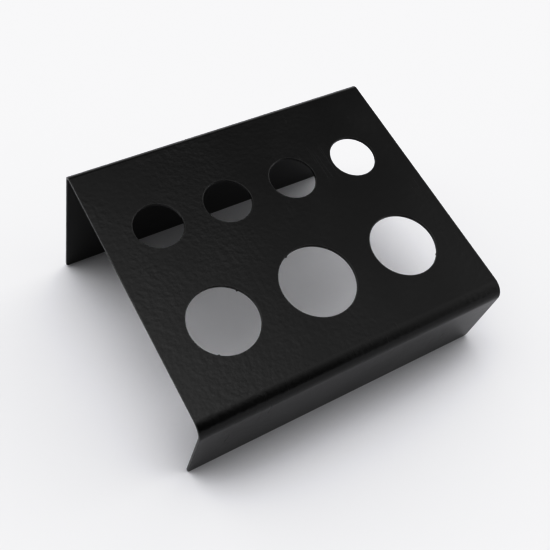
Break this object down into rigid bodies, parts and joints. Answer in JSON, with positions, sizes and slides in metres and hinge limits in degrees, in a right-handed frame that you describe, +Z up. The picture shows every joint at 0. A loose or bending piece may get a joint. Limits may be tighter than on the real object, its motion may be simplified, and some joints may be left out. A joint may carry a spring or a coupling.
{
  "type": "airbrush cup stand",
  "caption": "Sloping bench stand folded from coated steel sheet, with round holes of different sizes that hold small airbrush or ink cups by their rims.",
  "frame": {"origin": "centre of the stand's outer box, on the surface that it stands on", "axes": "+X along the two folds, -Y towards the low front edge, +Z up"},
  "size_m": [0.09, 0.084, 0.0443],
  "materials": {
    "black_coat": "satin"
  },
  "bodies": {
    "root": {"bent_sheet_stand": "black_coat"}
  },
  "joints": []
}
